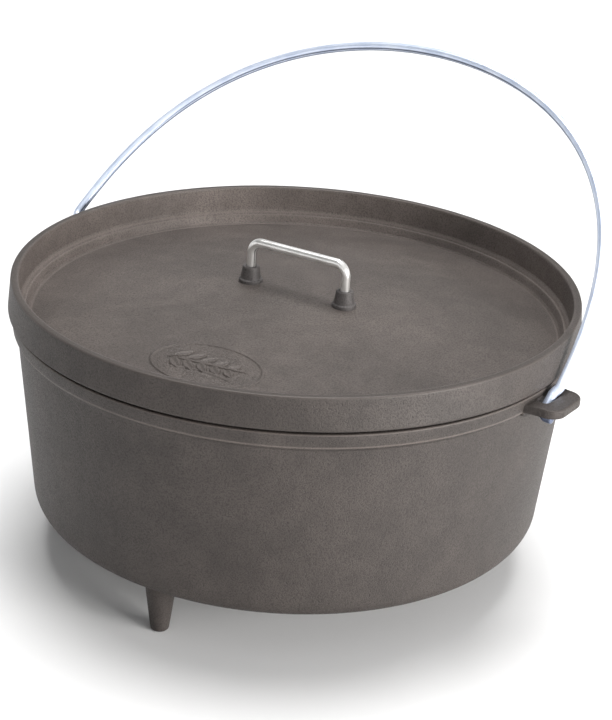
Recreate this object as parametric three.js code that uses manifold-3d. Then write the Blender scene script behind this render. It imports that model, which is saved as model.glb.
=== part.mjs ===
// Camp dutch oven: a three-legged cast iron pot with two ears, a rimmed lid with a wire handle,
// and a wire bail. Millimetres, +Z up, legs on z = 0, pot axis on Z, ears along X.
import * as THREE from 'three';
import { mergeVertices } from 'three/addons/utils/BufferGeometryUtils.js';
import Module from 'manifold-3d';

const wasm = await Module();
wasm.setup();

// ---- driving sizes ----
const ROUND_SEGMENTS = 72;
const DOME_STEPS = 12;
const TOUCH_GAP = 0.3;
const CUT_PAST = 1;

const legHeight = 33;
const legFootRadius = 5.2;
const legRootRadius = 9.4;
const legEdgeRadius = 2;
const legInset = 18.7;
const legFirstAngle = -85.3;
const legCount = 3;

const potRimRadius = 168;
const potHeight = 119.8;
const rimWidth = 4.4;
const rimBandHeight = 8.5;
const rimBandDraft = 1.2;
const rimStep = 2.5;
const mouthTaperDepth = 11;
const wallThickness = 4.6;
const wallTaper = 9.9;
const floorThickness = 5;
const cornerRadius = 9;
const edgeRound = 0.7;

const wireRadius = 2.8;

const earThickness = 5.5;
const earDrop = 3;
const earArmWidth = 9.5;
const earBarWidth = 10.8;
const earTipInset = 1.5;
const earCornerRadius = 9;
const slotSideGap = 0.8;
const slotEndGap = 0.8;
const shankGap = 1.4;

const bailLean = THREE.MathUtils.degToRad(50.5);
const bailRise = 22.6;
const bailRimGap = 1.8;
const bailOffset = 9.6;
const bailLeftTuck = 3.2;
const bailSquareness = 4;
const rightArchEnd = THREE.MathUtils.degToRad(86.6);
const leftArchEnd = THREE.MathUtils.degToRad(-82);
const rightKinkEase = 3;
const leftKinkEase = 9;
const hookBendRadius = 4;
const hookTail = 3.5;
const hookGap = 0.5;

const lidOverhang = 1.7;
const lidFlangeHeight = 20.9;
const lidFlangeDraft = 1.7;
const lidFlangeThickness = 4.6;
const lidSkirtLift = 1.8;
const lidTurn = THREE.MathUtils.degToRad(4.7);
const lidMouthGap = 1.0;
const lidPlugEdge = 1;
const lidSeatInset = 1.6;
const lidFilletTop = 5.5;
const lidFilletWidth = 1.2;
const lidFilletHeight = 1.4;
const lidGrooveWidth = 0.9;
const lidGrooveDepth = 0.5;
const ledgeRise = 3.1;
const ledgeWidth = 1.9;
const ledgeDrop = 4.8;
const plateStep = 1.2;
const plateDome = 13.9;
const plateThickness = 4.5;

const handleHalfSpan = 32.3;
const handleRise = 24.8;
const handleBendRadius = 7;
const handleSocketDepth = 7.5;
const bossHeight = 10;
const bossBaseRadius = 7.2;
const bossTopRadius = 5.1;

const badgeInset = 47.9;
const badgeTurn = 4.1;
const badgeHalfLength = 34;
const badgeHalfWidth = 21;
const badgeBorder = 2.2;
const badgeRelief = 0.8;
const stemLength = 55.6;
const stemWidth = 1.6;
const leafPairs = 4;
const leafPitch = 10;
const leafLength = 13;
const leafWidth = 4.6;
const leafSlant = 42;
const leafOffset = 0.6;

// ---- sizes worked out from them ----
const potFloorZ = legHeight;
const rimTopZ = potFloorZ + potHeight;
const bandLowRadius = potRimRadius - rimBandDraft;
const wallTopRadius = bandLowRadius - rimStep;
const mouthRadius = potRimRadius - rimWidth;
const wallFootRadius = wallTopRadius - wallTaper;
const legCircleRadius = wallFootRadius - legInset;
const wallTopZ = rimTopZ - rimBandHeight - rimStep;

const shankX = potRimRadius + shankGap + wireRadius;
const earTopZ = rimTopZ - earDrop;
const hingeZ = earTopZ - earThickness / 2;
const slotHalfWidth = wireRadius + slotSideGap;
const wireReach = wireRadius / Math.cos(bailLean);
const slotHalfLength = (earThickness / 2) * Math.tan(bailLean) + wireReach + slotEndGap;
const earTipX = shankX + slotHalfWidth + earBarWidth;
const hookDrop = (earThickness / 2 + hookGap + wireRadius) / Math.cos(bailLean);

const lidSeatZ = rimTopZ + TOUCH_GAP;
const skirtRadius = potRimRadius + lidOverhang;
const flangeTopRadius = skirtRadius - lidFlangeDraft;
const flangeInnerRadius = flangeTopRadius - lidFlangeThickness;
const plugRadius = mouthRadius - lidMouthGap;
const bailSideRadius = skirtRadius + bailRimGap + wireRadius + bailOffset;
const bailTopRadius = bailSideRadius + bailRise;
const flangeFootRadius = flangeInnerRadius - lidFlangeDraft / 2;
const grooveLipRadius = flangeFootRadius - lidFilletWidth;
const grooveRadius = grooveLipRadius - lidGrooveWidth;
const ledgeOuterRadius = grooveRadius - lidGrooveWidth;
const ledgeInnerRadius = ledgeOuterRadius - ledgeWidth;
const plateEdgeRadius = ledgeInnerRadius - plateStep;
const plateEdgeZ = ledgeRise - ledgeDrop - plateStep;
const plateTopZ = plateEdgeZ + plateDome;
const badgeCentreY = badgeInset - plateEdgeRadius;
const domeRadius = (plateEdgeRadius ** 2 + plateDome ** 2) / (2 * plateDome);

// Height of the lid's domed plate above the lid's seat, at a distance from the axis.
function plateHeight(radius) {
  return plateTopZ - domeRadius + Math.sqrt(domeRadius ** 2 - radius ** 2);
}

// ---- materials ----
const castIron = { color: 0x6b635e, roughness: 0.72, metalness: 0.45 };
const zincWire = { color: 0xd5dae2, roughness: 0.24, metalness: 0.95 };
const steelWire = { color: 0xbfbcb8, roughness: 0.3, metalness: 0.95 };

// ---- solid helpers ----
function toManifold(geometry) {
  const plain = geometry.index ? geometry.toNonIndexed() : geometry.clone();
  plain.deleteAttribute('normal');
  plain.deleteAttribute('uv');
  const merged = mergeVertices(plain, 1e-4);
  const vertProperties = new Float32Array(merged.attributes.position.array);
  const triVerts = new Uint32Array(merged.index.array);
  const mesh = new wasm.Mesh({ numProp: 3, vertProperties, triVerts });
  mesh.merge();
  return new wasm.Manifold(mesh);
}

function toGeometry(solid) {
  const mesh = solid.getMesh();
  const geometry = new THREE.BufferGeometry();
  geometry.setAttribute('position', new THREE.BufferAttribute(mesh.vertProperties, 3));
  geometry.setIndex(new THREE.BufferAttribute(mesh.triVerts, 1));
  geometry.computeVertexNormals();
  return geometry;
}

function unite(solids) {
  return solids.reduce((whole, next) => whole.add(next));
}

// A LatheGeometry turns about Y, so its solid is stood up on Z.
function turned(profile, segments = ROUND_SEGMENTS) {
  const points = profile.map(([radius, height]) => new THREE.Vector2(radius, height));
  const lathe = new THREE.LatheGeometry(points, segments);
  lathe.rotateX(Math.PI / 2);
  return toManifold(lathe);
}

function prism(shape, height, curveSegments = 12) {
  const options = { depth: height, bevelEnabled: false, curveSegments };
  return toManifold(new THREE.ExtrudeGeometry(shape, options));
}

// Points of an arc in a lathe profile, both ends included.
function arcPoints(centre, radius, fromDegrees, toDegrees, steps) {
  const points = [];
  for (let i = 0; i <= steps; i += 1) {
    const angle = THREE.MathUtils.degToRad(fromDegrees + ((toDegrees - fromDegrees) * i) / steps);
    points.push([centre[0] + radius * Math.cos(angle), centre[1] + radius * Math.sin(angle)]);
  }
  return points;
}

// Points along the plate's dome between two radii, raised by lift.
function domePoints(fromRadius, toRadius, lift, steps) {
  const points = [];
  for (let i = 0; i <= steps; i += 1) {
    const radius = fromRadius + ((toRadius - fromRadius) * i) / steps;
    points.push([radius, plateHeight(radius) + lift]);
  }
  return points;
}

// A bent wire: each stretch is a curve with its own number of steps along the tube.
class BentWire extends THREE.Curve {
  constructor(stretches) {
    super();
    this.stretches = stretches;
    this.steps = stretches.reduce((sum, stretch) => sum + stretch.steps, 0);
  }

  getPoint(t, target = new THREE.Vector3()) {
    let step = t * this.steps;
    let index = 0;
    while (index < this.stretches.length - 1 && step > this.stretches[index].steps) {
      step -= this.stretches[index].steps;
      index += 1;
    }
    const stretch = this.stretches[index];
    return target.copy(stretch.curve.getPoint(Math.min(step / stretch.steps, 1)));
  }

  // Steps are counted, not measured, so each stretch keeps its own fineness.
  getUtoTmapping(u) {
    return u;
  }
}

// One stretch of a bend: a circular arc in the XZ plane.
class ArcXZ extends THREE.Curve {
  constructor(x, z, radius, fromDegrees, toDegrees) {
    super();
    Object.assign(this, { x, z, radius, fromDegrees, toDegrees });
  }

  getPoint(t, target = new THREE.Vector3()) {
    const degrees = this.fromDegrees + (this.toDegrees - this.fromDegrees) * t;
    const angle = THREE.MathUtils.degToRad(degrees);
    return target.set(this.x + this.radius * Math.cos(angle), 0, this.z + this.radius * Math.sin(angle));
  }
}

// The bail's arch, bent by hand and a little off centre to the left: its distance from the
// arch's own centre falls from the top to the two sides.
class Arch extends THREE.Curve {
  getPoint(t, target = new THREE.Vector3()) {
    const angle = leftArchEnd + (rightArchEnd - leftArchEnd) * t;
    const sideRadius = bailSideRadius - (angle < 0 ? bailLeftTuck : 0);
    const fall = Math.abs(Math.sin(angle)) ** bailSquareness;
    const reach = bailTopRadius - (bailTopRadius - sideRadius) * fall;
    return target.set(reach * Math.sin(angle) - bailOffset, 0, reach * Math.cos(angle));
  }
}

function wireGeometry(stretches, radius) {
  const section = new THREE.Shape();
  section.absarc(0, 0, radius, 0, 2 * Math.PI, false);
  const path = new BentWire(stretches);
  const options = { steps: path.steps, curveSegments: 6, extrudePath: path, bevelEnabled: false };
  return toGeometry(toManifold(new THREE.ExtrudeGeometry(section, options)));
}

function lineStretch(from, to, steps) {
  return { curve: new THREE.LineCurve3(from, to), steps };
}

function mirrored(stretches) {
  return stretches
    .map(({ curve, steps }) => {
      const flipped = new THREE.Curve();
      flipped.getPoint = (t) => {
        const point = curve.getPoint(1 - t);
        return new THREE.Vector3(-point.x, point.y, point.z);
      };
      return { curve: flipped, steps };
    })
    .reverse();
}

// ---- pot ----
function potBody() {
  const cornerX = wallFootRadius - cornerRadius;
  return turned([
    [0, potFloorZ],
    ...arcPoints([cornerX, potFloorZ + cornerRadius], cornerRadius, -90, -5, 5),
    [wallTopRadius, wallTopZ],
    [bandLowRadius, rimTopZ - rimBandHeight],
    [potRimRadius, rimTopZ - edgeRound],
    [potRimRadius - edgeRound, rimTopZ],
    [0, rimTopZ],
  ]);
}

function potCavity() {
  const innerTop = wallTopRadius - wallThickness;
  const innerFoot = innerTop - wallTaper;
  const innerCorner = cornerRadius - wallThickness / 2;
  const floorZ = potFloorZ + floorThickness;
  return turned([
    [0, floorZ],
    ...arcPoints([innerFoot - innerCorner, floorZ + innerCorner], innerCorner, -90, -5, 5),
    [innerTop, rimTopZ - mouthTaperDepth],
    [mouthRadius, rimTopZ],
    [mouthRadius, rimTopZ + CUT_PAST],
    [0, rimTopZ + CUT_PAST],
  ]);
}

function ear(side) {
  const rootX = wallTopRadius - 2 * wallThickness;
  const rootHalf = slotHalfLength + earArmWidth;
  const tipHalf = rootHalf - earTipInset;
  const corner = Math.min(earCornerRadius, tipHalf);
  const outline = new THREE.Shape();
  outline.moveTo(rootX, -rootHalf);
  outline.lineTo(earTipX - corner, -tipHalf);
  outline.absarc(earTipX - corner, corner - tipHalf, corner, -Math.PI / 2, 0, false);
  outline.absarc(earTipX - corner, tipHalf - corner, corner, 0, Math.PI / 2, false);
  outline.lineTo(rootX, rootHalf);
  outline.closePath();
  const straight = slotHalfLength - slotHalfWidth;
  const slot = new THREE.Path();
  slot.absarc(shankX, straight, slotHalfWidth, 0, Math.PI, false);
  slot.absarc(shankX, -straight, slotHalfWidth, Math.PI, 2 * Math.PI, false);
  slot.closePath();
  outline.holes.push(slot);
  const solid = prism(outline, earThickness, 5);
  return solid.translate([0, 0, hingeZ - earThickness / 2]).rotate([0, 0, side > 0 ? 0 : 180]);
}

function leg(degrees) {
  const foot = legFootRadius - legEdgeRadius;
  const solid = turned([
    [0, 0],
    ...arcPoints([foot, legEdgeRadius], legEdgeRadius, -90, -5, 4),
    [legRootRadius, potFloorZ],
    [legRootRadius, potFloorZ + floorThickness / 2],
    [0, potFloorZ + floorThickness / 2],
  ], 24);
  const angle = THREE.MathUtils.degToRad(degrees);
  return solid.translate([legCircleRadius * Math.cos(angle), legCircleRadius * Math.sin(angle), 0]);
}

function potGeometry() {
  const legs = [];
  for (let i = 0; i < legCount; i += 1) {
    legs.push(leg(legFirstAngle + (360 * i) / legCount));
  }
  const casting = unite([potBody(), ear(1), ear(-1), ...legs]);
  return toGeometry(casting.subtract(potCavity()));
}

// ---- lid, in its own height above its seat ----
function lidBody() {
  return turned([
    ...domePoints(0, plateEdgeRadius, -plateThickness, DOME_STEPS),
    [plateEdgeRadius + lidPlugEdge, plateEdgeZ - plateThickness + lidPlugEdge],
    [plugRadius, 0],
    [potRimRadius - lidSeatInset, 0],
    [potRimRadius - lidSeatInset + edgeRound, lidSkirtLift],
    [skirtRadius - edgeRound, lidSkirtLift],
    [skirtRadius, lidSkirtLift + edgeRound],
    [flangeTopRadius, lidFlangeHeight - edgeRound],
    [flangeTopRadius - edgeRound, lidFlangeHeight],
    [flangeInnerRadius + edgeRound, lidFlangeHeight],
    [flangeInnerRadius, lidFlangeHeight - edgeRound],
    [flangeFootRadius, lidFilletTop],
    [grooveLipRadius, lidFilletTop - lidFilletHeight],
    [grooveRadius, ledgeRise - lidGrooveDepth],
    [ledgeOuterRadius, ledgeRise],
    [ledgeInnerRadius, ledgeRise - ledgeDrop],
    ...domePoints(plateEdgeRadius, 0, 0, DOME_STEPS),
  ]);
}

function boss(side) {
  const baseZ = plateHeight(handleHalfSpan);
  const solid = turned([
    [0, baseZ - plateThickness / 2],
    [bossBaseRadius, baseZ - plateThickness / 2],
    [bossBaseRadius, baseZ],
    [bossTopRadius, baseZ + bossHeight],
    [0, baseZ + bossHeight],
  ], 24);
  return solid.translate([side * handleHalfSpan, 0, 0]);
}

function socket(side) {
  const topZ = plateHeight(handleHalfSpan) + bossHeight;
  const radius = wireRadius + TOUCH_GAP;
  const bottomZ = topZ - handleSocketDepth - TOUCH_GAP;
  const mouthZ = topZ + CUT_PAST;
  const solid = turned([[0, bottomZ], [radius, bottomZ], [radius, mouthZ], [0, mouthZ]], 24);
  return solid.translate([side * handleHalfSpan, 0, 0]);
}

function leafShape(x, y, degrees, length, width) {
  const angle = THREE.MathUtils.degToRad(degrees);
  const along = new THREE.Vector2(Math.cos(angle), Math.sin(angle));
  const across = new THREE.Vector2(-along.y, along.x);
  const base = new THREE.Vector2(x, y);
  const tip = base.clone().addScaledVector(along, length);
  const middle = base.clone().addScaledVector(along, length / 2);
  const left = middle.clone().addScaledVector(across, width);
  const right = middle.clone().addScaledVector(across, -width);
  const shape = new THREE.Shape();
  shape.moveTo(base.x, base.y);
  shape.quadraticCurveTo(right.x, right.y, tip.x, tip.y);
  shape.quadraticCurveTo(left.x, left.y, base.x, base.y);
  return shape;
}

// The badge: an oval border round a plain sprig of leaves, raised off the domed plate.
function badge() {
  const border = new THREE.Shape();
  border.absellipse(0, badgeCentreY, badgeHalfLength, badgeHalfWidth, 0, 2 * Math.PI, false);
  const inside = new THREE.Path();
  const innerLength = badgeHalfLength - badgeBorder;
  const innerWidth = badgeHalfWidth - badgeBorder;
  inside.absellipse(0, badgeCentreY, innerLength, innerWidth, 0, 2 * Math.PI, false);
  border.holes.push(inside);
  const reach = plateDome + 3 * badgeRelief;
  const raised = [prism(border, reach, 20)];
  for (let i = 0; i < leafPairs; i += 1) {
    const x = leafPitch * (i + 0.4) - stemLength / 2;
    for (const side of [1, -1]) {
      const y = badgeCentreY + side * leafOffset;
      raised.push(prism(leafShape(x, y, side * leafSlant, leafLength, leafWidth), reach, 5));
    }
  }
  raised.push(prism(leafShape(-stemLength / 2, badgeCentreY, 0, stemLength, stemWidth), reach, 8));
  const skin = turned([
    [0, plateEdgeZ],
    ...domePoints(plateEdgeRadius, 0, badgeRelief, DOME_STEPS),
  ]);
  return skin.intersect(unite(raised).rotate([0, 0, badgeTurn]).translate([0, 0, plateEdgeZ - badgeRelief]));
}

function lidGeometry() {
  const casting = unite([lidBody(), boss(1), boss(-1), badge()]);
  return toGeometry(casting.subtract(socket(1)).subtract(socket(-1)));
}

// ---- lid handle, on the lid's own height ----
function handleGeometry() {
  const baseZ = plateHeight(handleHalfSpan) + bossHeight - handleSocketDepth;
  const barZ = plateTopZ + handleRise;
  const bend = handleBendRadius;
  const turnX = handleHalfSpan - bend;
  const foot = new THREE.Vector3(handleHalfSpan, 0, baseZ);
  const shoulder = new THREE.Vector3(handleHalfSpan, 0, barZ - bend);
  const right = [
    lineStretch(new THREE.Vector3(0, 0, barZ), new THREE.Vector3(turnX, 0, barZ), 2),
    { curve: new ArcXZ(turnX, barZ - bend, bend, 90, 0), steps: 7 },
    lineStretch(shoulder, foot, 2),
  ];
  return wireGeometry([...mirrored(right), ...right], wireRadius);
}

// ---- bail, on its hinge axis, standing up ----
// One end of the wire, on the right: a kink from the arch to the shank, then the shank through
// the ear, a bend and a tail under the ear.
function hook(archEnd, kinkEase) {
  const kinkZ = earThickness / 2 + wireRadius / 2;
  const bendX = shankX + hookBendRadius;
  const bendZ = hookBendRadius - hookDrop;
  const kinkFoot = new THREE.Vector3(shankX, 0, kinkZ);
  const kink = new THREE.CubicBezierCurve3(
    archEnd,
    new THREE.Vector3(archEnd.x, 0, archEnd.z - kinkEase),
    new THREE.Vector3(shankX, 0, kinkZ + kinkEase),
    kinkFoot,
  );
  const tailStart = new THREE.Vector3(bendX, 0, -hookDrop);
  const tailEnd = new THREE.Vector3(bendX + hookTail, 0, -hookDrop);
  return [
    { curve: kink, steps: 10 },
    lineStretch(kinkFoot, new THREE.Vector3(shankX, 0, bendZ), 3),
    { curve: new ArcXZ(bendX, bendZ, hookBendRadius, 180, 270), steps: 6 },
    lineStretch(tailStart, tailEnd, 1),
  ];
}

function bailGeometry() {
  const arch = new Arch();
  const leftEnd = arch.getPoint(0);
  leftEnd.x = -leftEnd.x;
  const left = mirrored(hook(leftEnd, leftKinkEase));
  const right = hook(arch.getPoint(1), rightKinkEase);
  return wireGeometry([...left, { curve: arch, steps: 64 }, ...right], wireRadius);
}

// ---- assembly ----
function piece(name, geometry, material) {
  const mesh = new THREE.Mesh(geometry, new THREE.MeshStandardMaterial(material));
  mesh.name = name;
  return mesh;
}

const oven = new THREE.Group();
oven.add(piece('pot', potGeometry(), castIron));

const lidGroup = new THREE.Group();
lidGroup.position.z = lidSeatZ;
lidGroup.rotation.z = lidTurn;
lidGroup.add(piece('lid', lidGeometry(), castIron));
lidGroup.add(piece('lid_handle', handleGeometry(), steelWire));
oven.add(lidGroup);

const bailGroup = new THREE.Group();
bailGroup.position.z = hingeZ;
bailGroup.rotation.x = -bailLean;
bailGroup.add(piece('bail', bailGeometry(), zincWire));
oven.add(bailGroup);

export default oven;
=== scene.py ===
"""A camp dutch oven: a cast pot on three legs, a flanged lid with a wire handle, and a wire bail."""
import math

import bpy
import numpy as np
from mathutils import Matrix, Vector


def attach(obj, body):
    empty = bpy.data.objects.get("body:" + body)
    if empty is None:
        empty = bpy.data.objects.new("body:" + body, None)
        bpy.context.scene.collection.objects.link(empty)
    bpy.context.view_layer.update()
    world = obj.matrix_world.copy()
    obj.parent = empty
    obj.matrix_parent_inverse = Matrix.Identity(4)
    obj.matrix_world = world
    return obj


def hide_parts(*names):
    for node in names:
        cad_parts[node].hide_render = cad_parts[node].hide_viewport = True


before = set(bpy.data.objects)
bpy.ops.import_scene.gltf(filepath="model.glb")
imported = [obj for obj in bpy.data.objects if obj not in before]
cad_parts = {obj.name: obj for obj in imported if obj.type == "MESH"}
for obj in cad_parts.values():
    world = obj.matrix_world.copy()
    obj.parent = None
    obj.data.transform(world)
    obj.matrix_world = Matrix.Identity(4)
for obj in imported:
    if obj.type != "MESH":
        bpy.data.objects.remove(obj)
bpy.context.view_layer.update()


# ---------------------------------------------------------------------------------------------
# Pot shell. One sand casting in grey iron, its wall about 4.6 mm thick with a heavier band under
# the rim, seasoned to a warm satin grey. The band's lip carries the lid all the way round.

MM = 0.001

POT_FLOOR_Z = 33.0
RIM_Z = 152.8
RIM_R = 168.0
MOUTH_R = 163.6
BAND_LOW_R = 166.8
BAND_LOW_Z = 144.3
WALL_TOP_R = 164.3
WALL_TOP_Z = 141.8
WALL_FOOT_R = 154.4
FOOT_CORNER_R = 9.0
POT_WALL = 4.6
POT_FLOOR = 5.0
MOUTH_TAPER_DEPTH = 11.0
WALL_TAPER = 9.9
FOOT_DRAFT = 0.3
BAND_ROOT_R = 1.6
RIM_EDGE_R = 0.9
MOUTH_BLEND_R = 6.0
FLOOR_CORNER_R = 6.7

CAST_DARK = (0.0185, 0.0155, 0.0140)
CAST_MID = (0.0380, 0.0318, 0.0287)
CAST_LIGHT = (0.0570, 0.0477, 0.0430)
# Painted highlight: the colour of thin bright lines painted along chosen edges.
EDGE_HIGHLIGHT = tuple(2.8 * c for c in CAST_LIGHT)
# Lighter colour for the flange top: partly a dressed rim, partly a painted highlight.
DRESSED_RIM_AND_HIGHLIGHT = tuple(1.2 * c for c in CAST_LIGHT)
SAND_SCALE = 1150.0
FINE_SCALE = 2600.0
CLOUD_SCALE = 17.0
PATCH_SCALE = 75.0
PIT_SCALE = 420.0


def rounded_path(corners, step):
    """Points along a polyline of (radius, height, corner radius): each corner is replaced by the
    tangent arc of its radius, and the whole is sampled at about the given step."""
    pts = np.array([c[:2] for c in corners], float)
    radii = [c[2] if len(c) > 2 else 0.0 for c in corners]
    out = [pts[:1]]
    for i in range(1, len(pts)):
        if i < len(pts) - 1 and radii[i] > 0:
            a, b = pts[i - 1] - pts[i], pts[i + 1] - pts[i]
            la, lb = np.linalg.norm(a), np.linalg.norm(b)
            a, b = a / la, b / lb
            half = 0.5 * math.acos(np.clip(a @ b, -1, 1))
            cut = min(radii[i] / math.tan(half), 0.49 * la, 0.49 * lb)
            radius = cut * math.tan(half)
            centre = pts[i] + (a + b) / np.linalg.norm(a + b) * radius / math.sin(half)
            start, end = pts[i] + a * cut - centre, pts[i] + b * cut - centre
            turn = math.atan2(start[0] * end[1] - start[1] * end[0], start @ end)
            count = max(4, int(abs(turn) * radius / step * 2))
            angle = math.atan2(start[1], start[0]) + np.linspace(0, turn, count)
            arc = centre + radius * np.stack([np.cos(angle), np.sin(angle)], 1)
        else:
            arc = pts[i : i + 1]
        last = out[-1][-1]
        count = int(np.linalg.norm(arc[0] - last) / step)
        if count > 1:
            t = np.linspace(0, 1, count + 1)[1:-1, None]
            out.append(last + (arc[0] - last) * t)
        out.append(arc)
    return np.concatenate(out)


def surface(name, grid, smooth_angle=0.6, uv=None):
    """A closed mesh from a grid of points that wraps round in its second direction. A first or
    last row whose points coincide becomes one pole; otherwise, if the first and last rows are
    the same line, they are joined. Distances in the grid are millimetres."""
    rows, cols = grid.shape[:2]
    top_pole = np.ptp(grid[0], axis=0).max() < 1e-6
    end_pole = np.ptp(grid[-1], axis=0).max() < 1e-6
    body = grid[1 if top_pole else 0 : rows - 1 if end_pole else rows]
    ring = not top_pole and not end_pole
    count = len(body)
    index = np.arange(count * cols).reshape(count, cols)
    points = [body.reshape(-1, 3)]
    below = np.roll(index, -1, axis=0) if ring else index[1:]
    here = index if ring else index[:-1]
    quads = np.stack([here, below, np.roll(below, -1, 1), np.roll(here, -1, 1)], -1).reshape(-1, 4)
    tris = []
    total = count * cols
    for pole, row, forward in ((top_pole, 0, True), (end_pole, -1, False)):
        if pole:
            points.append(grid[row, :1])
            line, ahead = index[row], np.roll(index[row], -1)
            tip = np.full(cols, total)
            tris.append(np.stack([tip, line, ahead] if forward else [tip, ahead, line], -1))
            total += 1
    coords = np.concatenate(points) * MM
    tris = np.concatenate(tris) if tris else np.zeros((0, 3), int)
    loops = np.concatenate([quads.ravel(), tris.ravel()]).astype(np.int32)
    starts = np.concatenate([np.arange(len(quads)) * 4, len(quads) * 4 + np.arange(len(tris)) * 3])
    mesh = bpy.data.meshes.new(name)
    mesh.vertices.add(len(coords))
    mesh.vertices.foreach_set("co", coords.ravel())
    mesh.loops.add(len(loops))
    mesh.loops.foreach_set("vertex_index", loops)
    mesh.polygons.add(len(starts))
    mesh.polygons.foreach_set("loop_start", starts.astype(np.int32))
    mesh.update(calc_edges=True)
    corner = coords[loops]
    first = corner[starts]
    volume = 0.0
    for a, b in ((1, 2), (2, 3)):
        quad = starts[: len(quads)]
        volume += np.einsum("ij,ij->", first[: len(quads)], np.cross(corner[quad + a], corner[quad + b]))
    if volume < 0:
        mesh.flip_normals()
    mesh.polygons.foreach_set("use_smooth", np.ones(len(starts), bool))
    mesh.set_sharp_from_angle(angle=smooth_angle)
    if uv is not None:
        layer = mesh.uv_layers.new(name="wire")
        flat = np.concatenate([uv.reshape(-1, 2), np.zeros((total - count * cols, 2))])
        order = np.empty(len(mesh.loops), np.int32)
        mesh.loops.foreach_get("vertex_index", order)
        layer.uv.foreach_set("vector", flat[order].ravel().astype(np.float32))
    obj = bpy.data.objects.new(name, mesh)
    bpy.context.scene.collection.objects.link(obj)
    return obj


def revolve(profile, segments, centre=(0.0, 0.0)):
    """Grid of a profile of (radius, height) turned about a vertical line through centre."""
    angle = np.linspace(0, 2 * np.pi, segments, endpoint=False)
    radius, height = profile[:, :1], profile[:, 1:]
    x = centre[0] + radius * np.cos(angle)
    y = centre[1] + radius * np.sin(angle)
    return np.stack([x, y, np.broadcast_to(height, x.shape)], -1)


class Sock:
    """A shader socket that adds Math nodes when it is used in arithmetic. Its make method adds any
    other node, with its settings and inputs, and gives the socket of the output asked for."""

    def __init__(self, tree, out=None):
        self.tree = tree
        self.out = out

    def make(self, kind, settings=None, inputs=None, out=0):
        node = self.tree.nodes.new(kind)
        for key, value in (settings or {}).items():
            setattr(node, key, value)
        for key, value in (inputs or {}).items():
            if isinstance(value, Sock):
                self.tree.links.new(value.out, node.inputs[key])
            else:
                node.inputs[key].default_value = value
        return Sock(self.tree, node.outputs[out])

    def math(self, operation, *values):
        return self.make("ShaderNodeMath", {"operation": operation}, dict(enumerate(values)))

    def __add__(self, other):
        return self.math("ADD", self, other)

    def __sub__(self, other):
        return self.math("SUBTRACT", self, other)

    def __mul__(self, other):
        return self.math("MULTIPLY", self, other)

    def __rsub__(self, other):
        return self.math("SUBTRACT", other, self)

    def __abs__(self):
        return self.math("ABSOLUTE", self)

    __radd__ = __add__
    __rmul__ = __mul__

    def ramp(self, low, high):
        """0 at low, 1 at high, smooth between and flat beyond; low may be the larger value."""
        settings = {"interpolation_type": "SMOOTHSTEP"}
        return self.make("ShaderNodeMapRange", settings, {0: self, 1: low, 2: high})


def colour_mix(factor, first, second):
    """Blend of two colours: first where factor is 0, second where it is 1."""
    first, second = (c if isinstance(c, Sock) else (*c, 1.0) for c in (first, second))
    inputs = {0: factor, 6: first, 7: second}
    return factor.make("ShaderNodeMix", {"data_type": "RGBA"}, inputs, 2)


def start_material(name):
    """A new material: its Principled shader and a socket of Object coordinates to start from."""
    material = bpy.data.materials.new(name)
    material.use_nodes = True
    shader = material.node_tree.nodes["Principled BSDF"]
    coords = Sock(material.node_tree).make("ShaderNodeTexCoord", None, None, "Object")
    return material, shader, coords


def noise(coords, scale, detail=2.0, roughness=0.5):
    """Noise value at the coordinates; in metres, scale is the number of features per metre."""
    inputs = {"Vector": coords, "Scale": scale, "Detail": detail, "Roughness": roughness}
    return coords.make("ShaderNodeTexNoise", None, inputs)


def bump(height, strength, distance, normal=None):
    """The surface normal tipped by a height, over another normal if one is given."""
    inputs = {"Height": height, "Strength": strength, "Distance": distance}
    if normal:
        inputs["Normal"] = normal
    return height.make("ShaderNodeBump", None, inputs)


def feed(shader, **values):
    """Links or sets the Principled shader's sockets; an underscore in a name is a space."""
    for key, value in values.items():
        socket = shader.inputs[key.replace("_", " ")]
        if isinstance(value, Sock):
            value.tree.links.new(value.out, socket)
        else:
            socket.default_value = value


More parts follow.
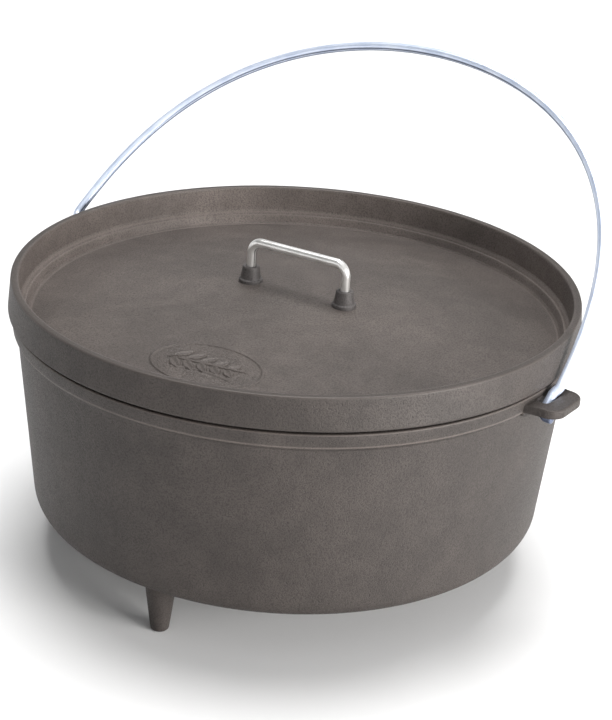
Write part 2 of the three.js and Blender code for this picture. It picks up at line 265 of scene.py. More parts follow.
def cast_iron(name, grain=1.0, tint=(1.0, 1.0, 1.0), gloss=0.0, wear_and_highlight_above=None, tray=None, rings=()):
    """Seasoned sand casting: fine sand grain with scattered pits under a baked oil skin, clouded
    slightly lighter and darker over a few centimetres. Above wear_and_highlight_above, a height in
    metres, it is ground smoother, as where a rim is dressed after casting, and painted lighter,
    partly for that dressing and partly as a painted highlight along the top. Inside the radius
    tray, in metres, the colour is painted lighter to stand in for light on the lid's inside, most
    on the flange's inner wall. Each ring is a radius and a height, in metres, of an edge given a
    thin painted highlight."""
    material, shader, at = start_material(name)
    sand = noise(at, SAND_SCALE, 3.0, 0.62)
    fine = noise(at, FINE_SCALE, 1.0)
    cloud = noise(at, CLOUD_SCALE, 3.0, 0.55)
    patch = noise(at, PATCH_SCALE, 2.0, 0.5)
    pits = at.make("ShaderNodeTexVoronoi", None, {"Vector": at, "Scale": PIT_SCALE}, "Distance")
    pit = 1.0 - pits.ramp(0.06, 0.26)
    shade = cloud.ramp(0.36, 0.66) * 0.6 + patch.ramp(0.35, 0.68) * 0.4
    tones = (CAST_DARK, CAST_MID, CAST_LIGHT)
    dark, mid, light = (tuple(c * t for c, t in zip(tone, tint)) for tone in tones)
    base = colour_mix(shade, mid, light)
    base = colour_mix(sand.ramp(0.56, 0.36) * 0.55, base, dark)
    base = colour_mix(pit * 0.5, base, dark)
    rough = 0.50 - gloss + cloud * 0.08 + sand.ramp(0.6, 0.35) * 0.14
    relief = sand * 0.75 + fine * 0.25 - pit * 0.45
    height = at.make("ShaderNodeSeparateXYZ", None, {"Vector": at}, "Z")
    plan = at.make("ShaderNodeVectorMath", {"operation": "MULTIPLY"}, {0: at, 1: (1.0, 1.0, 0.0)}, 0)
    radius = at.make("ShaderNodeVectorMath", {"operation": "LENGTH"}, {0: plan}, "Value")
    if tray is not None:
        inside = radius.ramp(tray + 0.0008, tray - 0.0008)
        # Painted light: the tray is painted lighter, most on the flange's inner wall, to stand in for
        # light falling there.
        tray_painted_light = 1.0 + inside * (0.85 + 0.9 * radius.ramp(tray - 0.0080, tray - 0.0062))
        base = at.make("ShaderNodeVectorMath", {"operation": "SCALE"}, {0: base, "Scale": tray_painted_light}, 0)
    # Painted highlights: a thin bright line painted along each ring's edge.
    for ring_radius, ring_height in rings:
        highlight_line = (abs(radius - ring_radius) + abs(height - ring_height)).ramp(0.0014, 0.0005)
        base = colour_mix(highlight_line * 0.42, base, EDGE_HIGHLIGHT)
    # Above this height the colour is lighter, partly for a smoother dressed top and partly as a painted
    # highlight along it.
    if wear_and_highlight_above is not None:
        wear_and_highlight = height.ramp(wear_and_highlight_above - 0.0004, wear_and_highlight_above + 0.0004) * (0.55 + 0.45 * cloud)
        base = colour_mix(wear_and_highlight * 0.75, base, DRESSED_RIM_AND_HIGHLIGHT)
        rough = rough - wear_and_highlight * 0.12
        relief = relief * (1.0 - wear_and_highlight * 0.7)
    normal = bump(relief, 0.8 * grain, 0.00050)
    normal = bump(patch, 0.22 * grain, 0.0011, normal)
    feed(shader, Base_Color=base, Roughness=rough, Normal=normal, Metallic=0.2)
    feed(shader, Coat_Weight=0.06, Coat_Roughness=0.38, Specular_IOR_Level=0.32)
    return material


def dress(piece, material, body, node):
    """Gives a piece its material and the body it moves with, and hides the CAD node it stands for."""
    piece.data.materials.append(material)
    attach(piece, body)
    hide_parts(node)


# The pot's rings are painted highlights on the band's lower edge and the rim's outer edge.
pot_iron = cast_iron(
    "cast_iron_pot", rings=((BAND_LOW_R * MM, BAND_LOW_Z * MM), (RIM_R * MM, RIM_Z * MM))
)
inner_r = WALL_TOP_R - POT_WALL
pot_profile = rounded_path(
    [
        (0.0, POT_FLOOR_Z),
        (WALL_FOOT_R - FOOT_DRAFT, POT_FLOOR_Z, FOOT_CORNER_R),
        (WALL_TOP_R, WALL_TOP_Z, BAND_ROOT_R),
        (BAND_LOW_R, BAND_LOW_Z, RIM_EDGE_R),
        (RIM_R, RIM_Z, RIM_EDGE_R),
        (MOUTH_R, RIM_Z, RIM_EDGE_R),
        (inner_r, RIM_Z - MOUTH_TAPER_DEPTH, MOUTH_BLEND_R),
        (inner_r - WALL_TAPER, POT_FLOOR_Z + POT_FLOOR, FLOOR_CORNER_R),
        (0.0, POT_FLOOR_Z + POT_FLOOR),
    ],
    step=2.4,
)
pot_shell = surface("pot_shell", revolve(pot_profile, segments=360))
dress(pot_shell, pot_iron, "pot", "pot")


# ---------------------------------------------------------------------------------------------
# Pot legs. Three tapered pegs cast with the pot, each running into the floor with a fillet and
# ending in a small flat foot with a rounded edge.

LEG_CIRCLE_R = 135.7
LEG_COUNT = 3
FIRST_LEG_ANGLE = -85.3
LEG_FOOT_R = 5.2
LEG_FOOT_EDGE_R = 2.0
LEG_ROOT_R = 9.4
LEG_FILLET = 3.0
LEG_SUNK = 1.5

leg_profile = rounded_path(
    [
        (0.0, 0.0),
        (LEG_FOOT_R, 0.0, LEG_FOOT_EDGE_R),
        (LEG_ROOT_R, POT_FLOOR_Z, LEG_FILLET),
        (LEG_ROOT_R + LEG_FILLET, POT_FLOOR_Z + 0.2),
        (LEG_ROOT_R + LEG_FILLET, POT_FLOOR_Z + LEG_SUNK),
        (0.0, POT_FLOOR_Z + LEG_SUNK),
    ],
    step=0.8,
)
for number in range(LEG_COUNT):
    angle = math.radians(FIRST_LEG_ANGLE + 360.0 / LEG_COUNT * number)
    centre = (LEG_CIRCLE_R * math.cos(angle), LEG_CIRCLE_R * math.sin(angle))
    leg = surface(f"leg_{number + 1}", revolve(leg_profile, 72, centre))
    dress(leg, pot_iron, "pot", "pot")


# ---------------------------------------------------------------------------------------------
# Ears. Two flat lugs cast on the rim band, each with a long slot along the band that the bail's
# hook drops through. Their edges are rounded by the mould and they widen into the band.

EAR_TOP_Z = 149.8
EAR_THICK = 5.5
EAR_ROOT_R = 164.6
EAR_TIP_X = 186.6
EAR_ROOT_HALF = 18.04
EAR_TIP_HALF = 16.54
EAR_CORNER_R = 9.0
EAR_EDGE_R = 1.3
SLOT_X = 172.2
SLOT_HALF_WIDTH = 3.6
SLOT_HALF_LENGTH = 8.54
EAR_FILLET = 2.2


def resampled(points, count):
    """The same closed outline with count points at equal spacing along it."""
    loop = np.vstack([points, points[:1]])
    run = np.concatenate([[0], np.cumsum(np.linalg.norm(np.diff(loop, axis=0), axis=1))])
    at = np.linspace(0, run[-1], count, endpoint=False)
    return np.stack([np.interp(at, run, loop[:, k]) for k in (0, 1)], 1)


def by_bearing(points, centre, count):
    """The outline's points at equal bearings round a centre, starting from +X."""
    offset = points - centre
    bearing = np.unwrap(np.arctan2(offset[:, 1], offset[:, 0]))
    turn = np.linspace(0, 2 * np.pi, count, endpoint=False)
    shifted = np.concatenate([bearing - 2 * np.pi, bearing, bearing + 2 * np.pi])
    radius = np.tile(np.linalg.norm(offset, axis=1), 3)
    order = np.argsort(shifted)
    return turn, np.interp(turn, shifted[order], radius[order])


def outline_arc(x, y, radius, start, end, count=16):
    """Points of an arc in plan about (x, y), from one bearing in degrees to another."""
    angle = np.radians(np.linspace(start, end, count))
    return np.stack([x + radius * np.cos(angle), y + radius * np.sin(angle)], 1)


def ear_grid():
    """A flat ring between a D-shaped outline and a slot: at each bearing round the slot, the
    section is a rounded rectangle from slot to outline, thickened where it meets the band."""
    corner = EAR_CORNER_R
    swing = math.degrees(math.asin(EAR_ROOT_HALF / EAR_ROOT_R))
    outline = np.vstack(
        [
            outline_arc(EAR_TIP_X - corner, corner - EAR_TIP_HALF, corner, -90 - 5, 0),
            outline_arc(EAR_TIP_X - corner, EAR_TIP_HALF - corner, corner, 0, 90 + 5),
            outline_arc(0, 0, EAR_ROOT_R, swing, -swing, 40),
        ]
    )
    straight = SLOT_HALF_LENGTH - SLOT_HALF_WIDTH
    slot = np.vstack(
        [
            outline_arc(SLOT_X, straight, SLOT_HALF_WIDTH, 0, 180, 40),
            outline_arc(SLOT_X, -straight, SLOT_HALF_WIDTH, 180, 360, 40),
        ]
    )
    centre = np.array([SLOT_X, 0.0])
    count = 288
    turn, outer = by_bearing(resampled(outline, 900), centre, count)
    inner = by_bearing(resampled(slot, 900), centre, count)[1]
    edge = EAR_EDGE_R
    half = EAR_THICK / 2
    quarter = np.linspace(0, np.pi / 2, 6)
    across = np.linspace(0, 1, 14)
    wall = np.linspace(-half + edge, half - edge, 5)
    rise, fall = edge * np.sin(quarter), edge * np.cos(quarter)
    face, still = across[1:-1], np.zeros(5)
    stretches = [
        (np.zeros(5), wall, still),
        (np.zeros(6), half - edge + rise, edge - fall),
        (face, np.full(12, half), edge * (1 - 2 * face)),
        (np.ones(6), half - edge + fall, rise - edge),
        (np.ones(5), wall[::-1], still),
        (np.ones(6), edge - half - rise, fall - edge),
        (face[::-1], np.full(12, -half), edge * (1 - 2 * face[::-1])),
        (np.zeros(6), edge - half - fall, edge - rise),
    ]
    u, v, s = (np.concatenate(part)[:, None] for part in zip(*stretches))
    reach = inner + (outer - inner) * u + s
    x = SLOT_X + reach * np.cos(turn)
    y = reach * np.sin(turn)
    depth = np.clip(1 - (np.hypot(x, y) - RIM_R + 1.0) / EAR_FILLET, 0, 1)
    arm = np.clip((np.abs(y) - SLOT_HALF_LENGTH + 1.5) / 3.0, 0, 1)
    flare = EAR_FILLET * (1 - np.sqrt(1 - depth**2)) * arm
    z = EAR_TOP_Z - half + v * (1 + flare / half)
    return np.stack([x, y, z], -1)


ear_points = ear_grid()
for name, side in (("ear_right", 1.0), ("ear_left", -1.0)):
    ear = surface(name, ear_points * np.array([side, side, 1.0]), smooth_angle=0.9)
    dress(ear, pot_iron, "pot", "pot")


# ---------------------------------------------------------------------------------------------
# Lid. One casting: a tall flange that keeps coals on, a stepped ledge inside it, and a plate
# that domes up to the middle so moisture runs back down. It sits on the pot's rim by its step.

SEAT_Z = RIM_Z + 0.3
SKIRT_R = 169.7
FLANGE_R = 168.0
FLANGE_H = 20.9
FLANGE_IN_R = 163.4
PLATE_EDGE_R = 156.45
PLATE_EDGE_H = -2.9
PLATE_RISE = 13.9
PLATE_THICK = 4.5
LID_TURN = math.radians(4.7)
PLUG_R = 162.6
SEAT_R = 165.2
SKIRT_LIFT = 1.8
TRAY_FILLET_H = 5.4
LEDGE_OUT_R, LEDGE_OUT_H = 161.3, 3.9
LEDGE_GROOVE_R, LEDGE_GROOVE_H = 160.5, 2.6
LEDGE_IN_R, LEDGE_IN_H = 159.5, 3.1
LEDGE_FOOT_R, LEDGE_FOOT_H = 157.7, -1.7

DOME_R = (PLATE_EDGE_R**2 + PLATE_RISE**2) / (2 * PLATE_RISE)
PLATE_TOP_Z = SEAT_Z + PLATE_EDGE_H + PLATE_RISE


def plate_z(radius):
    """Height of the domed plate: a sphere of radius DOME_R whose top is at PLATE_TOP_Z."""
    return PLATE_TOP_Z - DOME_R + np.sqrt(DOME_R**2 - radius**2)


def turned_lid(points, more=0.0):
    """The same points turned with the lid, which has settled a few degrees round on its seat, and
    turned on by the degrees in more."""
    x, y = points[..., 0], points[..., 1]
    turn = LID_TURN + math.radians(more)
    cos, sin = math.cos(turn), math.sin(turn)
    return np.stack([x * cos - y * sin, x * sin + y * cos, points[..., 2]], -1)


def dome(start, end, lift, step):
    """Profile points of the domed plate from one radius to another, raised by lift."""
    radius = np.linspace(start, end, int(abs(end - start) / step) + 1)
    return np.stack([radius, plate_z(radius) + lift], 1)


lid_iron = cast_iron(
    "cast_iron_lid",
    grain=0.9,
    # Flange top: dressed smoother and painted lighter, partly as a painted highlight.
    wear_and_highlight_above=(SEAT_Z + FLANGE_H - 0.9) * MM,
    # Painted light: the lid's inside is painted lighter.
    tray=(FLANGE_IN_R + 0.9) * MM,
    # Painted highlights along the ledge's edges and the plate's edge.
    rings=(
        ((LEDGE_OUT_R + 0.2) * MM, (SEAT_Z + LEDGE_OUT_H + 0.2) * MM),
        (LEDGE_IN_R * MM, (SEAT_Z + LEDGE_IN_H) * MM),
        (PLATE_EDGE_R * MM, (SEAT_Z + PLATE_EDGE_H) * MM),
    ),
)
lid_wall = rounded_path(
    [
        (PLATE_EDGE_R, SEAT_Z + PLATE_EDGE_H - PLATE_THICK),
        (PLATE_EDGE_R + 1.0, SEAT_Z + PLATE_EDGE_H - PLATE_THICK + 1.0, 0.8),
        (PLUG_R, SEAT_Z, 1.0),
        (SEAT_R, SEAT_Z, 0.3),
        (SEAT_R + 0.4, SEAT_Z + SKIRT_LIFT, 0.3),
        (SKIRT_R, SEAT_Z + SKIRT_LIFT, 0.8),
        (FLANGE_R, SEAT_Z + FLANGE_H, 1.0),
        (FLANGE_IN_R, SEAT_Z + FLANGE_H, 0.9),
        (PLUG_R, SEAT_Z + TRAY_FILLET_H, 1.6),
        (LEDGE_OUT_R, SEAT_Z + LEDGE_OUT_H, 0.9),
        (LEDGE_GROOVE_R, SEAT_Z + LEDGE_GROOVE_H, 0.5),
        (LEDGE_IN_R, SEAT_Z + LEDGE_IN_H, 0.5),
        (LEDGE_FOOT_R, SEAT_Z + LEDGE_FOOT_H, 0.5),
        (PLATE_EDGE_R, SEAT_Z + PLATE_EDGE_H),
    ],
    step=0.9,
)
lid_profile = np.vstack(
    [
        dome(0.0, PLATE_EDGE_R, lift=-PLATE_THICK, step=6.0)[:-1],
        lid_wall,
        dome(PLATE_EDGE_R, 0.0, lift=0.0, step=3.0)[1:],
    ]
)
lid_plate = surface("lid_plate", revolve(lid_profile, segments=420), smooth_angle=0.9)
dress(lid_plate, lid_iron, "lid", "lid")


# ---------------------------------------------------------------------------------------------
# Lid badge. A low oval medallion cast on the plate: a thin raised border round a pebbled field
# with a sprig of leaves on a stem, all with the soft edges that sand gives.

BADGE_Y = -108.55
BADGE_TURN = 4.1
BADGE_A = 34.0
BADGE_B = 21.0
BADGE_BORDER = 1.3
BADGE_LIFT = 1.0
BADGE_MARGIN = 0.8
STEM_X, STEM_Y = -25.0, -1.0
STEM_TURN = 3.0
STEM_LENGTH = 51.0
LEAF_PAIRS = 5
FIRST_LEAF_X = -22.0
LEAF_SPACING = 8.6
LEAF_TURN = 44.0
LEAF_LENGTH = 13.5
LEAF_SHRINK = 1.3
LEAF_WIDTH = 2.9


def soft_step(value, width):
    """1 where value is well below 0, 0 where well above, smooth over the given width."""
    t = np.clip(0.5 - value / width, 0, 1)
    return t * t * (3 - 2 * t)


def leaf_field(x, y, base_x, base_y, degrees, length, width):
    """Signed outline of a pointed leaf: below 0 inside. Its half-width follows a sine along it."""
    turn = math.radians(degrees)
    along = (x - base_x) * math.cos(turn) + (y - base_y) * math.sin(turn)
    across = np.abs((y - base_y) * math.cos(turn) - (x - base_x) * math.sin(turn))
    t = np.clip(along / length, 0, 1)
    past = np.maximum(-along, along - length).clip(0)
    return across - width * np.sin(np.pi * t) ** 0.8 + past


def badge_height(x, y):
    """Relief in millimetres over the plate at badge coordinates x and y: a thin oval border, a
    pebbled field inside it, and a branch of veined leaves over a low mound."""
    scale = np.sqrt((x / BADGE_A) ** 2 + (y / BADGE_B) ** 2)
    inset = (1 - scale) * math.sqrt(BADGE_A * BADGE_B)
    border = 0.55 * soft_step(np.abs(inset - BADGE_BORDER / 2) - BADGE_BORDER / 2, 0.8)
    pebble = np.sin(2.9 * x + 1.3 * np.sin(1.7 * y)) * np.sin(3.1 * y + 1.1 * np.sin(1.9 * x + 2.0))
    field = soft_step(BADGE_BORDER + 1.2 - inset, 1.0) * (0.10 + 0.16 * pebble)
    mound = soft_step(np.abs(y + 10.0 - 3.0 * np.cos(x / 13.0)) - 0.9, 1.2) * (np.abs(x) < 20.0)
    relief = np.maximum(np.maximum(border, field), 0.6 * mound * (inset > 3.0))
    stem = leaf_field(x, y, STEM_X, STEM_Y, STEM_TURN, STEM_LENGTH, 1.0)
    relief = np.maximum(relief, 0.85 * soft_step(stem, 0.7))
    for pair in range(LEAF_PAIRS):
        base = FIRST_LEAF_X + LEAF_SPACING * pair
        length = LEAF_LENGTH - LEAF_SHRINK * pair
        for side in (1, -1):
            turn = math.radians(side * LEAF_TURN)
            blade = leaf_field(x, y, base, side * 0.5, side * LEAF_TURN, length, LEAF_WIDTH)
            vein = np.abs((y - side * 0.5) * math.cos(turn) - (x - base) * math.sin(turn))
            shape = soft_step(blade, 0.9) * (0.5 + 0.5 * np.clip(vein / 1.2, 0, 1))
            relief = np.maximum(relief, shape)
    return BADGE_LIFT * relief


def badge_grid():
    """The medallion's top on rings that shrink to its middle, sunk a little below the plate at
    the outside, closed underneath by a shallow cone."""
    rings, count = 150, 520
    share = np.linspace(1.0, 0.0, rings)[:, None]
    angle = np.linspace(0, 2 * np.pi, count, endpoint=False)
    x = share * (BADGE_A + BADGE_MARGIN) * np.cos(angle)
    y = share * (BADGE_B + BADGE_MARGIN) * np.sin(angle)
    z = plate_z(np.hypot(x, y + BADGE_Y)) + badge_height(x, y) + 0.02
    z[0] -= 0.6
    under = np.stack([np.zeros(count), np.full(count, BADGE_Y), np.full(count, z.min() - 1.5)], -1)
    top = np.stack([x, y + BADGE_Y, z], -1)
    return np.concatenate([under[None], top])


badge = surface("lid_badge", turned_lid(badge_grid(), BADGE_TURN), smooth_angle=1.2)
dress(badge, lid_iron, "lid", "lid")


# ---------------------------------------------------------------------------------------------
# Handle bosses. Two tapered posts cast on the plate, each with a low step round its foot and
# bored blind for one of the handle's legs. Their iron is paler and smoother than the plate's.

BOSS_X = 32.3
BOSS_H = 10.0
BOSS_BASE_R = 7.2
BOSS_TOP_R = 5.0
BOSS_STEP_H = 1.9
BOSS_SUNK = 2.0
WIRE_R = 2.8
SOCKET_DEPTH = 7.8
SOCKET_GAP = 0.3

boss_iron = cast_iron("cast_iron_boss", grain=0.7, tint=(1.75, 1.9, 2.05), gloss=0.06)
boss_base_z = float(plate_z(np.array(BOSS_X)))
boss_profile = rounded_path(
    [
        (0.0, boss_base_z + BOSS_H - SOCKET_DEPTH),
        (WIRE_R + SOCKET_GAP, boss_base_z + BOSS_H - SOCKET_DEPTH),
        (WIRE_R + SOCKET_GAP, boss_base_z + BOSS_H, 0.3),
        (BOSS_TOP_R, boss_base_z + BOSS_H, 0.7),
        (BOSS_BASE_R - 1.0, boss_base_z + BOSS_STEP_H + 0.5, 0.8),
        (BOSS_BASE_R, boss_base_z + BOSS_STEP_H, 0.6),
        (BOSS_BASE_R + 0.1, boss_base_z - 0.4),
        (BOSS_BASE_R + 0.1, boss_base_z - BOSS_SUNK),
        (0.0, boss_base_z - BOSS_SUNK),
    ],
    step=0.5,
)
for name, side in (("boss_right", 1.0), ("boss_left", -1.0)):
    post = revolve(boss_profile, 96, (side * BOSS_X, 0.0))
    boss = surface(name, turned_lid(post), smooth_angle=0.8)
    dress(boss, boss_iron, "lid", "lid")


# ---------------------------------------------------------------------------------------------
# Lid handle. A staple of drawn steel wire, bent cold at both corners, its legs driven into the
# bosses. The wire keeps its bright drawn skin with fine lines along it.

HANDLE_RISE = 24.8
HANDLE_BEND_R = 7.0
WIRE_CAP_RINGS = 7
WIRE_CAP_BULGE = 0.45

STEEL_DARK = (0.66, 0.65, 0.63)
STEEL_LIGHT = (0.92, 0.91, 0.89)
# Painted shade: the colour of the dark line painted along the handle wire's inner side.
STEEL_SHADE = (0.08, 0.08, 0.08)


def tube(name, path, radius, sides=24):
    """A round wire along a path that lies in one plane: at each point the section is spanned by
    the plane's normal and the in-plane perpendicular. The ends close with small domes."""
    ahead = np.gradient(path, axis=0)
    ahead /= np.linalg.norm(ahead, axis=1, keepdims=True)
    flat = np.cross(path[len(path) // 2] - path[0], path[-1] - path[0])
    flat = flat / np.linalg.norm(flat)
    side = np.cross(np.broadcast_to(flat, ahead.shape), ahead)
    run = np.concatenate([[0], np.cumsum(np.linalg.norm(np.diff(path, axis=0), axis=1))])
    cap = np.linspace(0, np.pi / 2, WIRE_CAP_RINGS)
    dome_in = radius * WIRE_CAP_BULGE * (1 - np.cos(cap))[:, None]
    keep = (run > radius * 0.5) & (run < run[-1] - radius * 0.5)
    head = path[0] + ahead[0] * dome_in
    foot = path[-1] - ahead[-1] * dome_in[::-1]
    spine = np.concatenate([head, path[keep], foot])
    size = np.concatenate([np.sin(cap), np.ones(keep.sum()), np.sin(cap[::-1])]) * radius
    ends = [np.repeat(side[k][None], WIRE_CAP_RINGS, 0) for k in (0, -1)]
    spans = np.concatenate([ends[0], side[keep], ends[1]])
    angle = np.linspace(0, 2 * np.pi, sides, endpoint=False)
    ring = spans[:, None] * np.cos(angle)[:, None] + flat * np.sin(angle)[:, None]
    grid = spine[:, None] + ring * size[:, None, None]
    length = np.concatenate([[0], np.cumsum(np.linalg.norm(np.diff(spine, axis=0), axis=1))])
    uv = np.stack(np.broadcast_arrays(length[1:-1, None] * MM, (angle * radius * MM)[None]), -1)
    return surface(name, grid, 1.2, uv)


def drawn_wire(name, dark, light, grey, roughness, bloom, metal, shaded_below=None):
    """Bright drawn wire: long faint draw lines, a light bloom of plating and small dull marks. The
    side turned to the inside of the bends, where the section's angle starts, carries a painted shade
    line in the grey colour, and all of the wire below the height shaded_below in metres is painted
    in that shade too."""
    material, shader, at = start_material(name)
    along = at.make("ShaderNodeUVMap", {"uv_map": "wire"})
    stretch = {"Vector": along, "Scale": (60.0, 2600.0, 1.0)}
    lines = noise(at.make("ShaderNodeMapping", None, stretch), 1.0, 3.0, 0.6)
    cloud = noise(at, 55.0, 3.0, 0.6)
    marks = noise(at, 420.0, 2.0, 0.5).ramp(0.60, 0.72)
    shade = cloud.ramp(0.35, 0.65) * 0.5 + lines.ramp(0.35, 0.65) * 0.5
    base = colour_mix(shade, dark, light)
    base = colour_mix(marks * 0.15, base, dark)
    around = along.make("ShaderNodeSeparateXYZ", None, {"Vector": along}, "Y")
    # Painted shade: a dark line along the side turned to the inside of the bends.
    shade_side = around.math("COSINE", around * (1.0 / (WIRE_R * MM)))
    base = colour_mix(shade_side.ramp(0.74, 0.92) * 0.9, base, grey)
    # Painted shade: the wire below this height, under the ear, is painted dark.
    if shaded_below is not None:
        height = at.make("ShaderNodeSeparateXYZ", None, {"Vector": at}, "Z")
        base = colour_mix(height.ramp(shaded_below + 0.001, shaded_below - 0.001), base, grey)
    rough = roughness + cloud * bloom + marks * 0.10
    normal = bump(lines, 0.08, 0.00010)
    feed(shader, Base_Color=base, Roughness=rough, Normal=normal, Metallic=metal)
    return material


def arc_points(x, z, radius, start, end, count):
    """Points of an arc in the XZ plane about (x, z), from one bearing in degrees to another."""
    angle = np.radians(np.linspace(start, end, count))
    return np.stack([x + radius * np.cos(angle), 0 * angle, z + radius * np.sin(angle)], 1)


def line_points(start, end, count):
    """Points of a straight line, both ends included."""
    t = np.linspace(0, 1, count)[:, None]
    return np.array(start, float) + (np.array(end, float) - np.array(start, float)) * t


bar_z = PLATE_TOP_Z + HANDLE_RISE
turn_x = BOSS_X - HANDLE_BEND_R
foot_z = boss_base_z + BOSS_H - SOCKET_DEPTH + SOCKET_GAP
half_staple = np.vstack(
    [
        line_points((0, 0, bar_z), (turn_x, 0, bar_z), 30)[:-1],
        arc_points(turn_x, bar_z - HANDLE_BEND_R, HANDLE_BEND_R, 90, 0, 28),
        line_points((BOSS_X, 0, bar_z - HANDLE_BEND_R), (BOSS_X, 0, foot_z), 26)[1:],
    ]
)
staple_path = np.vstack([half_staple[:0:-1] * np.array([-1, 1, 1]), half_staple])
lid_handle = tube("lid_handle_wire", turned_lid(staple_path), WIRE_R)
handle_steel = drawn_wire(
    "drawn_steel_handle", STEEL_DARK, STEEL_LIGHT, STEEL_SHADE, roughness=0.26, bloom=0.06, metal=0.75
)
dress(lid_handle, handle_steel, "lid", "lid_handle")


# ---------------------------------------------------------------------------------------------
# Bail. One length of zinc-plated steel wire bent into a flat arch. Each end kinks in, drops
# through the ear's slot and turns out under the ear, so the wire's own hook is the hinge.

HINGE_Z = 147.05
BAIL_LEAN = math.radians(50.5)
BAIL_TOP_R = 206.5
BAIL_RIGHT_R = 183.9
BAIL_LEFT_R = 180.7
BAIL_OFFSET = 9.6
BAIL_POWER = 4.0
RIGHT_END = math.radians(86.6)
LEFT_END = math.radians(82.0)
SHANK_X = 172.2
KINK_Z = 4.15
RIGHT_EASE = 3.0
LEFT_EASE = 9.0
HOOK_BEND_R = 4.0
HOOK_TAIL = 3.5
HOOK_DROP = (EAR_THICK / 2 + 0.5 + WIRE_R) / math.cos(BAIL_LEAN)

ZINC_DARK = (0.50, 0.58, 0.74)
ZINC_LIGHT = (0.76, 0.82, 0.94)
# Painted shade: the colour of the dark line painted along the bail wire's inner side.
ZINC_SHADE = (0.10, 0.12, 0.18)


def bail_half(side_r, offset, end, ease):
    """One half of the wire's middle line, standing up on its hinge line, as if on the right: an
    arch whose distance from its centre falls as the fourth power of the bearing's sine, then an
    S-shaped kink, the straight shank, the bend and the tail."""
    bearing = np.linspace(0, end, 380)
    reach = BAIL_TOP_R - (BAIL_TOP_R - side_r) * np.sin(bearing) ** BAIL_POWER
    across = reach * np.sin(bearing) - offset
    arch = np.stack([across, 0 * bearing, reach * np.cos(bearing)], 1)
    top, foot = arch[-1], np.array((SHANK_X, 0.0, KINK_Z))
    pull = np.array((0.0, 0.0, ease))
    t = np.linspace(0, 1, 60)[1:, None]
    kink = top * (1 - t) ** 3 + (top - pull) * 3 * t * (1 - t) ** 2
    kink = kink + (foot + pull) * 3 * t**2 * (1 - t) + foot * t**3
    bend_x, bend_z = SHANK_X + HOOK_BEND_R, HOOK_BEND_R - HOOK_DROP
    shank = line_points(foot, (SHANK_X, 0, bend_z), 20)
    bend = arc_points(bend_x, bend_z, HOOK_BEND_R, 180, 270, 20)
    tail = line_points((bend_x, 0, -HOOK_DROP), (bend_x + HOOK_TAIL, 0, -HOOK_DROP), 10)
    return np.vstack([arch, kink, shank[1:], bend[1:], tail[1:]])


right_half = bail_half(BAIL_RIGHT_R, BAIL_OFFSET, RIGHT_END, RIGHT_EASE)
left_half = bail_half(BAIL_LEFT_R, -BAIL_OFFSET, LEFT_END, LEFT_EASE)
standing = np.vstack([left_half[:0:-1] * np.array([-1, 1, 1]), right_half])
tilted = np.stack(
    [
        standing[:, 0],
        standing[:, 2] * math.sin(BAIL_LEAN),
        HINGE_Z + standing[:, 2] * math.cos(BAIL_LEAN),
    ],
    1,
)
bail = tube("bail_wire", tilted, WIRE_R)
bail_zinc = drawn_wire(
    "zinc_plated_bail",
    ZINC_DARK,
    ZINC_LIGHT,
    ZINC_SHADE,
    roughness=0.26,
    bloom=0.08,
    metal=0.45,
    # Painted shade on the hook under the ear.
    shaded_below=(HINGE_Z - WIRE_R - 0.2) * MM,
)
dress(bail, bail_zinc, "bail", "bail")


# ---------------------------------------------------------------------------------------------
# Studio. White paper, flat under the oven and curved up all round it. A wide light overhead leans
# a little from behind, a weak one comes from the front right, and a soft box stands low on the
# right. The pale room round them glows more on its right side.

PAPER_FLAT = 3.5
PAPER_BEND = 3.5
PAPER_WHITE = (0.70, 0.70, 0.70, 1.0)
ROOM_BLUE = (0.96, 0.98, 1.0, 1.0)
WINDOW_SIDE = (0.95, 0.25, 0.2)
ROOM_GLOW = 0.05
WINDOW_GLOW = 0.34


def soft_box(name, place, aim, size, power, colour):
    """A rectangular area light at a place in metres, turned to face a point."""
    data = bpy.data.lights.new(name, "AREA")
    data.shape = "RECTANGLE"
    data.size, data.size_y = size
    data.energy = power
    data.color = colour
    lamp = bpy.data.objects.new(name, data)
    lamp.location = place
    lamp.rotation_euler = (Vector(aim) - Vector(place)).to_track_quat("-Z", "Y").to_euler()
    bpy.context.scene.collection.objects.link(lamp)


def paper_bowl(flat, bend, rings=48, sides=96):
    """Floor and walls as one round sheet: flat out to one radius in metres, then a quarter circle
    of the other radius up into a wall all round."""
    radius = np.linspace(0, flat + bend, rings + 1)[1:]
    rise = np.clip((radius - flat) / bend, 0, 1)
    lift = bend * (1 - np.sqrt(1 - rise**2))
    angle = np.linspace(0, 2 * np.pi, sides, endpoint=False)
    across = np.broadcast_to(lift[:, None], (rings, sides))
    grid = np.stack([np.outer(radius, np.cos(angle)), np.outer(radius, np.sin(angle)), across], -1)
    index = 1 + np.arange(rings * sides).reshape(rings, sides)
    around = np.roll(index, -1, axis=1)
    quads = np.stack([index[:-1], index[1:], around[1:], around[:-1]], -1).reshape(-1, 4)
    middle = np.stack([np.zeros(sides, int), index[0], around[0]], -1)
    mesh = bpy.data.meshes.new("paper_bowl")
    points = np.concatenate([[[0.0, 0.0, 0.0]], grid.reshape(-1, 3)])
    mesh.from_pydata(points, [], middle.tolist() + quads.tolist())
    mesh.polygons.foreach_set("use_smooth", np.ones(len(mesh.polygons), bool))
    obj = bpy.data.objects.new("paper_bowl", mesh)
    bpy.context.scene.collection.objects.link(obj)
    return obj


floor = paper_bowl(PAPER_FLAT, PAPER_BEND)
paper, paper_shader = start_material("white_paper")[:2]
feed(paper_shader, Base_Color=PAPER_WHITE, Roughness=0.85)
floor.data.materials.append(paper)


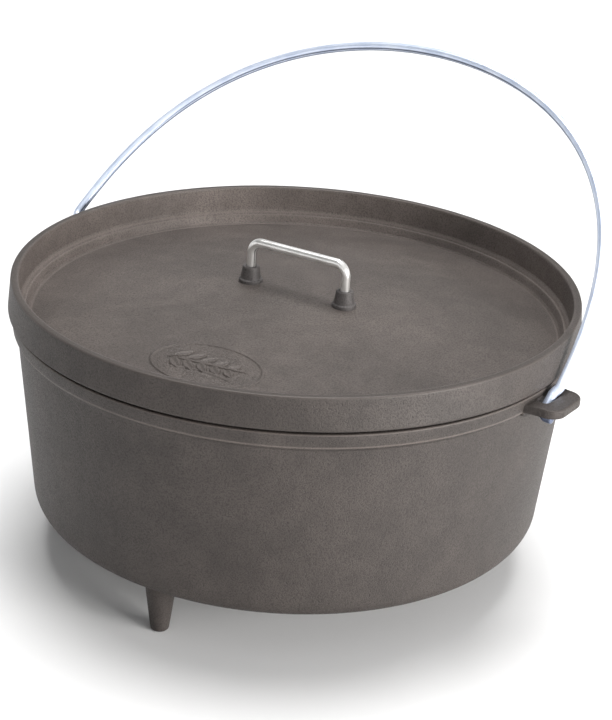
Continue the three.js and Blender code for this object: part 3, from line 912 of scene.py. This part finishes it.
def open_sky(name, toward, strength, spread):
    """A far light spread over a round patch of sky: toward points from the oven to its middle,
    and spread is its width in degrees."""
    data = bpy.data.lights.new(name, "SUN")
    data.energy = strength
    data.angle = math.radians(spread)
    lamp = bpy.data.objects.new(name, data)
    lamp.rotation_euler = Vector(toward).to_track_quat("Z", "Y").to_euler()
    bpy.context.scene.collection.objects.link(lamp)


open_sky("overhead", toward=(-0.10, 0.20, 1.0), strength=4.2, spread=36.0)
open_sky("behind_camera", toward=(0.5, -0.75, 1.3), strength=0.3, spread=50.0)
soft_box(
    "right_wall",
    place=(1.75, -0.05, 0.30),
    aim=(0, 0, 0.1),
    size=(0.9, 0.9),
    power=66.0,
    colour=(1.0, 0.985, 0.97),
)

world = bpy.data.worlds.new("pale_room")
world.use_nodes = True
room = world.node_tree.nodes["Background"]
room.inputs[0].default_value = ROOM_BLUE
direction = Sock(world.node_tree).make("ShaderNodeTexCoord", None, None, "Generated")
window = direction.make(
    "ShaderNodeVectorMath", {"operation": "DOT_PRODUCT"}, {0: direction, 1: WINDOW_SIDE}, "Value"
)
glow = ROOM_GLOW + WINDOW_GLOW * window.ramp(-0.2, 0.95)
world.node_tree.links.new(glow.out, room.inputs[1])
bpy.context.scene.world = world
bpy.context.scene.view_settings.view_transform = "Standard"


# ---------------------------------------------------------------------------------------------
# Camera. A long lens a little over a metre away, looking down at the oven from the front right.

CAMERA_PLACE = (0.5733, -0.8397, 0.5719)
CAMERA_TILT = 66.01735
CAMERA_LEAN = -3.21483
CAMERA_HEADING = 35.29685
SENSOR_HEIGHT = 36.0
LENS = 92.03

camera_data = bpy.data.cameras.new("camera")
camera_data.sensor_fit = "VERTICAL"
camera_data.sensor_height = SENSOR_HEIGHT
camera_data.lens = LENS
camera_data.clip_start = 0.05
camera = bpy.data.objects.new("camera", camera_data)
camera.location = CAMERA_PLACE
camera.rotation_euler = [math.radians(a) for a in (CAMERA_TILT, CAMERA_LEAN, CAMERA_HEADING)]
bpy.context.scene.collection.objects.link(camera)
bpy.context.scene.camera = camera
